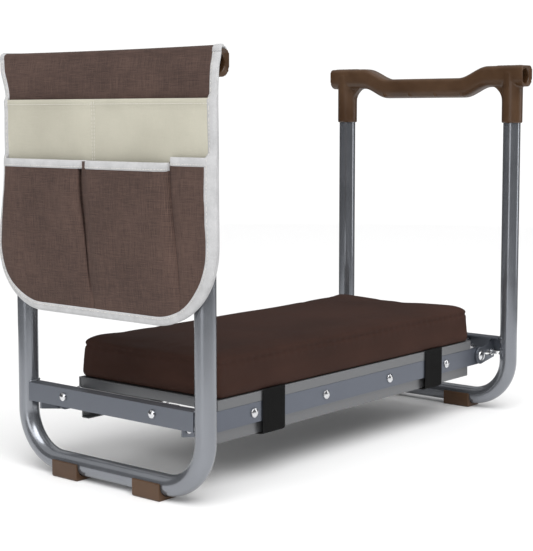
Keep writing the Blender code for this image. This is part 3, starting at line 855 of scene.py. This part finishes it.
def beige_d(y, z):
    """The upper pockets' depth: two pillows that meet at the middle seam, under a hem."""
    front, rear = pouch_sides(z)
    low, high = (front, MIDDLE_Y) if y < MIDDLE_Y else (MIDDLE_Y, rear)
    share = clamp((y - low) / (high - low))
    pillow = (1 - abs(2 * share - 1) ** 4) * smooth_step((z - 0.355) / 0.06)
    hem = 0.0007 * smooth_step((z - BAND_LOW + 0.0085) / 0.0012)
    ripple = 0.0007 * cloth_noise(y, z, 26, 4.0) * smooth_step((z - 0.36) / 0.02)
    return COVER_D + 0.0024 + 0.0026 * pillow + hem + ripple


SEAM_ONE = ((0.377, 0.0125), (0.205, 0.0025))
SEAM_TWO = ((0.377, -0.1165), (0.205, -0.1295))


def lower_top(y):
    """The lower pockets' top edge, which steps up at the small front pocket."""
    return LOWER_TOP + SMALL_POCKET_RISE * smooth_step((-0.1150 - y) / 0.0022)


SMALL_DEPTH = 0.0065
MIDDLE_DEPTH = 0.0125
REAR_DEPTH = 0.0115


def pocket_of(y, z):
    """The pocket that y falls in, as its share across and its depth."""
    front, rear = pouch_sides(z)
    one, two = along(SEAM_ONE, z), along(SEAM_TWO, z)
    pockets = ((front + 0.006, two, SMALL_DEPTH), (two, one, MIDDLE_DEPTH), (one, rear - 0.004, REAR_DEPTH))
    for low, high, depth in pockets:
        if y <= high:
            return clamp((y - low) / (high - low)), depth
    return 1.0, REAR_DEPTH


def lower_d(y, z):
    """The lower pockets' depth: each bulges between its seams and closes towards the bottom."""
    share, depth = pocket_of(y, z)
    down = clamp((lower_top(y) - z) / (lower_top(y) - POUCH_LOW - 0.004))
    mouth = 0.84 + 0.16 * math.sin(math.pi * min(down * 2, 1.0))
    swell = (1 - abs(2 * share - 1) ** 12) * (1 - down**2.4) * mouth
    folds = 0.0011 * cloth_noise(y + 0.35 * z, z * 0.55, 24, 7.0) + 0.0006 * cloth_noise(y, z, 60, 9.0)
    return COVER_D + 0.0042 + depth * swell + folds * (0.25 + swell)


def undercut(y, z):
    """How far the seam between the rear and middle pockets is tucked in under the rear pocket."""
    return 0.0085 * math.exp(-(((y - along(SEAM_ONE, z)) / 0.0042) ** 2)) * smooth_step((z - 0.205) / 0.05)


def cloth_sheet(name, rows, material, thickness=0.0012):
    """A sheet through rows of (point, (u, v)); None leaves a hole. u and v are metres on the flat cloth."""
    numbers, vertices, spots = {}, [], []
    for i, row in enumerate(rows):
        for j, cell in enumerate(row):
            if cell:
                numbers[i, j] = len(vertices)
                vertices.append(cell[0])
                spots.append(cell[1])
    faces = []
    for i in range(len(rows) - 1):
        for j in range(len(rows[i]) - 1):
            corners = ((i, j), (i + 1, j), (i + 1, j + 1), (i, j + 1))
            if all(corner in numbers for corner in corners):
                faces.append(tuple(numbers[corner] for corner in corners))
    mesh = from_lists(name, vertices, faces)
    layer = mesh.uv_layers.new(name="flat")
    for loop in mesh.loops:
        layer.data[loop.index].uv = spots[loop.vertex_index]
    sheet = piece(name, mesh, material)
    modifier(sheet, "SOLIDIFY", thickness=thickness, offset=0.0)
    return apply_modifiers(sheet)


def heights(top, low, step):
    """Row heights from top to low, closer together round the bottom corners."""
    bend = POUCH_LOW + FRONT_ROUND
    count = max(2, round((top - bend) / step))
    rows = [top + (bend - top) * i / count for i in range(count)]
    rows += [POUCH_LOW + FRONT_ROUND * (1 - math.sin(math.radians(2.5 * t))) for t in range(37)]
    return [max(z, low) for z in rows]


def flat_rows(top, inset, columns, step, depth, lift=None, tuck=None):
    """Rows of a hanging sheet; lift(y) raises its top edge, and tuck(y, z) shifts its points sideways."""
    rows = []
    for z in heights(top, POUCH_LOW + inset, step):
        front, rear = pouch_sides(z)
        front, rear = front + inset, rear - inset
        row = []
        for k in range(columns + 1):
            y = front + (rear - front) * k / columns
            place = z if lift is None else z + lift(y) * smooth_step((z - top + 0.05) / 0.05)
            across = y + (tuck(y, place) if tuck else 0.0)
            row.append((at("left", depth(y, place), across, place), (y, place)))
        rows.append(row)
    return rows


TONGUE_ROWS = 10
TONGUE_HALF = 0.119


def hanger_route():
    """The cloth's (d, z) route from the tongue's end, up and over the handle, to the fold outside."""
    inner, outer, top, bend = 0.3036, FOLD_D, 0.4922, 0.0045
    turns = [math.radians(t) for t in range(0, 91, 15)]
    route = [(inner, 0.4205 + 0.006 * i) for i in range(TONGUE_ROWS)] + [(inner, 0.4800)]
    route += [(inner + bend - bend * math.cos(turn), top - bend + bend * math.sin(turn)) for turn in turns]
    route += [(inner + bend + (outer - inner - 2 * bend) * i / 6, top) for i in range(1, 6)]
    route += [(outer - bend + bend * math.sin(turn), top - bend + bend * math.cos(turn)) for turn in turns]
    return [*route, (outer, FOLD_Z)]


def hanger_ends(d):
    """The front and rear edge of the cover over the handle, a little narrower on the inner side."""
    front, rear = pouch_sides(FOLD_Z)
    inner = smooth_step((0.334 - d) / 0.024)
    return front + 0.001 + 0.021 * inner, rear - 0.001 - 0.004 * inner


def hanger_rows(columns):
    """The part of the cover that lies over the handle, with the narrower tongue at its start."""
    route = hanger_route()
    lengths = [0.0]
    for one, two in zip(route, route[1:]):
        lengths.append(lengths[-1] + math.dist(one, two))
    rows = []
    for (d, z), length in zip(route, lengths):
        front, rear = hanger_ends(d)
        row = []
        for k in range(columns + 1):
            y = front + (rear - front) * k / columns
            sag = 0.0009 * (1 - (y / 0.17) ** 2) if z > 0.4905 else 0.0
            cell = (at("left", d, y, z - sag), (y, FOLD_Z + lengths[-1] - length))
            row.append(cell if abs(y) < TONGUE_HALF or length > lengths[TONGUE_ROWS] - 1e-6 else None)
        rows.append(row)
    return rows[:-1]


def hanger_bindings():
    """Binding tape over the two ends of the cover on the handle."""
    made = []
    for end, place, width in (("front", 0, WIDE_TAPE), ("rear", 1, -NARROW_TAPE)):
        points = []
        for d, z in hanger_route()[TONGUE_ROWS:]:
            y = hanger_ends(d)[place] - math.copysign(0.001, width)
            points.append(at("left", d, y + width / 2, z))
        half = abs(width) / 2
        section = [(-half, -0.0010), (half, -0.0010), (half + 0.0005, 0.0), (half, 0.0012),
                   (half * 0.5, 0.0016), (-half * 0.5, 0.0016), (-half, 0.0012), (-half - 0.0005, 0.0)]
        rings = []
        for i, point in enumerate(points):
            out = heading(points, i).cross(Vector((0, 1, 0))).normalized()
            if out.dot(point - at("left", HANDLE_MIDDLE[0], point.y, HANDLE_MIDDLE[1])) < 0:
                out = -out
            rings.append([point + Vector((0, a, 0)) + out * b for a, b in section])
        tape = outward(piece(f"hanger_binding_{end}", skinned("tape", rings), TAPE))
        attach(tape, "left_leg")
        made.append(tape)
    return made


def outline_route():
    """Points down the front edge, round the bottom and up the rear edge, each with its inward direction."""
    step = 0.006
    zs = heights(FOLD_Z, POUCH_LOW, step)
    front = [Vector((pouch_sides(z)[0], z)) for z in zs]
    rear = [Vector((pouch_sides(z)[1], z)) for z in reversed(zs)]
    gap = rear[0].x - front[-1].x
    steps = round(gap / step)
    bottom = [Vector((front[-1].x + gap * i / steps, POUCH_LOW)) for i in range(1, steps)]
    route = front + bottom + rear
    runs = [heading(route, i) for i in range(len(route))]
    return [(point, Vector((-run.y, run.x))) for point, run in zip(route, runs)]


def top_surface(y, z):
    """The depth of the outermost cloth."""
    if z < lower_top(y):
        return lower_d(y, z)
    if z < BAND_LOW:
        return beige_d(y, z)
    return cover_d(y, z)


NARROW_TAPE = 0.0066
WIDE_TAPE = 0.0109
BOTTOM_TAPE = 0.0092


def binding_width(point):
    """Wide at the front, narrow at the rear, and between the two along the bottom."""
    base = NARROW_TAPE + (WIDE_TAPE - NARROW_TAPE) * smooth_step((0.02 - point.x) / 0.14)
    low_share = smooth_step((0.235 - point.y) / 0.03)
    return base + (BOTTOM_TAPE - base) * low_share


def edge_binding():
    """The tape folded over the pouch's edge. Its section is (share of its width, lift) pairs."""
    rings, stitch_points = [], []
    for point, inward in outline_route():
        width = binding_width(point)
        ring = []
        for share, lift in ((-0.06, 0.0), (0.0, 0.0011), (0.3, 0.0016), (0.75, 0.0015), (1.0, 0.0009),
                            (1.02, 0.0002)):
            spot = point + inward * (width * share)
            inner = point + inward * max(width * share, 0.001)
            surface = top_surface(inner.x, inner.y)
            ring.append(at("left", surface + lift, spot.x, spot.y))
            if share == 0.75:
                stitch_points.append(at("left", surface + 0.0017, spot.x, spot.y))
        for share, lift in ((1.0, 0.0), (0.95, -0.0014), (0.2, -0.0016), (0.0, -0.0010)):
            spot = point + inward * (width * share)
            ring.append(at("left", cover_d(spot.x, spot.y) + lift, spot.x, spot.y))
        rings.append(ring)
    tape = outward(piece("edge_binding", skinned("binding", rings), TAPE))
    threads = stitches("edge_stitches", stitch_points, THREAD)
    for made in (tape, threads):
        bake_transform(made)
    return [tape, threads]


def stitches(name, points, material):
    """A row of sewn stitches along points, proud of the cloth on its outer side."""
    length, gap, radius, out = 0.0026, 0.0013, 0.00032, OUTWARDS
    vertices, numbers, faces = [], [], []
    travelled, wanted = 0.0, 0.0
    for one, two in zip(points, points[1:]):
        run = (two - one).length
        while run and wanted + length <= travelled + run:
            share = max(0.0, (wanted - travelled) / run)
            start = one.lerp(two, share)
            step = (two - one).normalized()
            side = step.cross(out).normalized()
            for t, fat in ((0.0, 0.35), (0.18, 0.9), (0.5, 1.0), (0.82, 0.9), (1.0, 0.35)):
                centre = start + step * (length * t) + out * (radius * (0.9 if 0 < t < 1 else -0.2))
                numbers.append(list(range(len(vertices), len(vertices) + 6)))
                vertices += [centre + side * (radius * fat * a) + out * (radius * fat * b)
                             for a, b in circle(1.0, 6)]
            faces += ring_faces(numbers[-5:])
            wanted += length + gap
        travelled += run
    return outward(piece(name, from_lists(name, vertices, faces), material))


def tape_strip(name, low_y, high_y, z, height, depth):
    """Tape folded over a pocket's top edge. Its section is (share of its height, lift) pairs."""
    rings = []
    steps = max(4, round((high_y - low_y) / 0.0018))
    for i in range(steps + 1):
        y = low_y + (high_y - low_y) * i / steps
        ring = []
        for drop, lift in ((-0.0007, 0.0), (-0.0001, 0.0010), (0.3, 0.0014), (0.8, 0.0013), (1.0, 0.0009),
                           (1.0, 0.0001), (1.0, -0.0009), (0.3, -0.0012), (-0.0001, -0.0009)):
            down = drop * height if drop > 0 else drop
            ring.append(at("left", depth(y, min(z - down, z)) + lift, y, z - down))
        rings.append(ring)
    return outward(piece(name, skinned(name, rings), TAPE))


def on_pouch(made):
    for obj in made:
        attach(obj, "pouch")


def pouch_cover():
    """The tongue, the part over the handle and the back panel, in one sheet with its binding."""
    rows = hanger_rows(108) + flat_rows(FOLD_Z, 0.001, 108, 0.0035, cover_d)
    cover = cloth_sheet("pouch_cover", rows, BROWN, 0.0013)
    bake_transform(cover)
    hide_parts("pouch_back_panel", "pouch_hanger")
    edge_binding()
    hanger_bindings()


def upper_pocket():
    """The beige cloth, sewn down the middle into two pockets."""
    rows = flat_rows(BAND_LOW, 0.0018, 120, 0.0032, beige_d)
    beige = cloth_sheet("upper_pocket", rows, BEIGE, 0.001)
    front, rear = pouch_sides(BAND_LOW)
    proud, hem_z = 0.0006, BAND_LOW - 0.0056
    ys = np.arange(front + 0.008, rear - 0.006, 0.002)
    zs = np.arange(BAND_LOW - 0.001, 0.368, -0.002)
    hem = [at("left", beige_d(y, hem_z) + proud, y, hem_z) for y in ys]
    seams = [stitches("pocket_hem_stitches", hem, THREAD)]
    for number, y in enumerate((0.0012, 0.0048)):
        line = [at("left", beige_d(y, z) + proud, y, z) for z in zs]
        seams.append(stitches(f"pocket_seam_stitches_{number}", line, THREAD))
    on_pouch([*seams, beige])
    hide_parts("pouch_upper_pockets")


def pocket_rise(y):
    return lower_top(y) - LOWER_TOP


def lower_pocket():
    """The brown cloth, sewn into three pockets that gape, with tape along their top edges."""
    rows = flat_rows(0.3703, 0.0026, 260, 0.0024, lower_d, pocket_rise, undercut)
    lower = cloth_sheet("lower_pocket", rows, BROWN)
    front, rear = pouch_sides(LOWER_TOP)
    tape_z, small_tape_z, tape_height = 0.3708, 0.3770, 0.0088
    extras = [
        tape_strip("pocket_tape", -0.1160, rear - 0.003, tape_z, tape_height, lower_d),
        tape_strip("small_pocket_tape", front + 0.006, -0.1175, small_tape_z, tape_height, lower_d),
    ]
    spans = ((-0.1150, rear - 0.008, tape_z), (front + 0.010, -0.1185, small_tape_z))
    for number, (start, end, top) in enumerate(spans):
        z = top - 0.0068
        line = [at("left", lower_d(y, z) + 0.0014, y, z) for y in np.arange(start, end, 0.0012)]
        extras.append(stitches(f"pocket_tape_stitches_{number}", line, THREAD))
    zs = np.arange(0.360, 0.206, -0.002)
    for number, seam in enumerate((SEAM_ONE, SEAM_TWO)):
        line = [at("left", lower_d(along(seam, z), z) + 0.0007, along(seam, z), z) for z in zs]
        extras.append(stitches(f"pocket_side_stitches_{number}", line, BROWN_THREAD))
    on_pouch([*extras, lower])
    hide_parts("pouch_lower_pockets")


for leg_side in SIGN:
    handle_piece(leg_side)
    leg_tube(leg_side)
    weld_beads(leg_side)
    strap_piece(leg_side)
    for leg_end in ENDS:
        coil_spring(leg_side, leg_end)
cushion_piece()
pouch_cover()
upper_pocket()
lower_pocket()


# -------- camera, light and floor


def disc_ring(radius, z):
    return [(x, y, z) for x, y in circle(radius, 48)]


def reflected_surroundings():
    """A dark wall and mat that only reflections see, so that bright strips stand out in the metal."""
    far, near, mat_z = 3.6, 1.15, 0.0015
    wall = disc_ring(far, 0.002) + disc_ring(far, 1.9)
    mat = disc_ring(far, mat_z) + disc_ring(near, mat_z)
    surfaces = (
        ("reflected_wall", wall, "wall_cloth", (0.06, 0.06, 0.065)),
        ("reflected_mat", mat, "mat_cloth", (0.12, 0.12, 0.125)),
    )
    for name, vertices, cloth, colour in surfaces:
        count = len(vertices) // 2
        faces = [(i, (i + 1) % count, count + (i + 1) % count, count + i) for i in range(count)]
        surface = piece(name, from_lists(name, vertices, faces), plain(cloth, colour, 0.9))
        for rays in ("camera", "diffuse", "shadow", "transmission"):
            setattr(surface, f"visible_{rays}", False)


def build_floor():
    far = 9
    corners = [(-far, -far, 0), (far, -far, 0), (far, far, 0), (-far, far, 0)]
    floor = from_lists("floor", corners, [(0, 1, 2, 3)])
    piece("floor", floor, plain("floor_paint", (0.92, 0.92, 0.92), 0.6))


def build_world():
    """A white surround that lights the seat less strongly than it looks."""
    world = bpy.data.worlds.new("studio")
    scene.world = world
    world.use_nodes = True
    tree = world.node_tree
    background = tree.nodes["Background"]
    background.inputs["Color"].default_value = (1.0, 1.0, 1.0, 1.0)
    rays = tree.nodes.new("ShaderNodeLightPath")
    strength = tree.nodes.new("ShaderNodeMapRange")
    strength.inputs["To Min"].default_value = 0.6
    strength.inputs["To Max"].default_value = 1.05
    tree.links.new(rays.outputs["Is Camera Ray"], strength.inputs["Value"])
    tree.links.new(strength.outputs[0], background.inputs["Strength"])


def build_lamps():
    """A broad sun for the soft shadow, a key lamp, and two upright strips for the lines on the tubes."""
    sun = bpy.data.objects.new("sun", bpy.data.lights.new("sun", "SUN"))
    sun.data.energy = 2.3
    sun.data.angle = math.radians(50)
    sun.rotation_euler = Vector((0.45, 0.5, -1.0)).to_track_quat("-Z", "Y").to_euler()
    scene.collection.objects.link(sun)
    lamps = (
        ("key", (-1.5, -2.4, 2.6), (1.6, 1.6), 14.0),
        ("left_strip", (-2.27, -0.39, 0.8), (0.8, 1.9), 13.0),
        ("right_strip", (1.68, -1.58, 0.8), (0.5, 1.9), 9.0),
    )
    for name, place, size, power in lamps:
        lamp = bpy.data.lights.new(name, "AREA")
        lamp.shape = "RECTANGLE"
        lamp.size, lamp.size_y = size
        lamp.energy = power
        obj = bpy.data.objects.new(name, lamp)
        obj.location = place
        aim = Vector((SEAT_X, 0.0, 0.22 if name == "key" else place[2]))
        obj.rotation_euler = (aim - Vector(place)).to_track_quat("-Z", "Y").to_euler()
        obj.visible_camera = False
        scene.collection.objects.link(obj)


def build_camera():
    """The photo's viewpoint, a little below the handles, from a perspective fit of the legs."""
    camera = bpy.data.objects.new("camera", bpy.data.cameras.new("camera"))
    camera.data.lens = 90.2
    camera.data.shift_y = -0.06
    camera.data.clip_start = 0.05
    camera.location = (SEAT_X - 1.3941, -1.1202, 0.4216)
    camera.rotation_euler = (math.radians(90 - 5.288), 0.0, math.radians(-50.268))
    scene.collection.objects.link(camera)
    scene.camera = camera
    scene.view_settings.view_transform = "Standard"


build_floor()
build_world()
build_lamps()
reflected_surroundings()
build_camera()
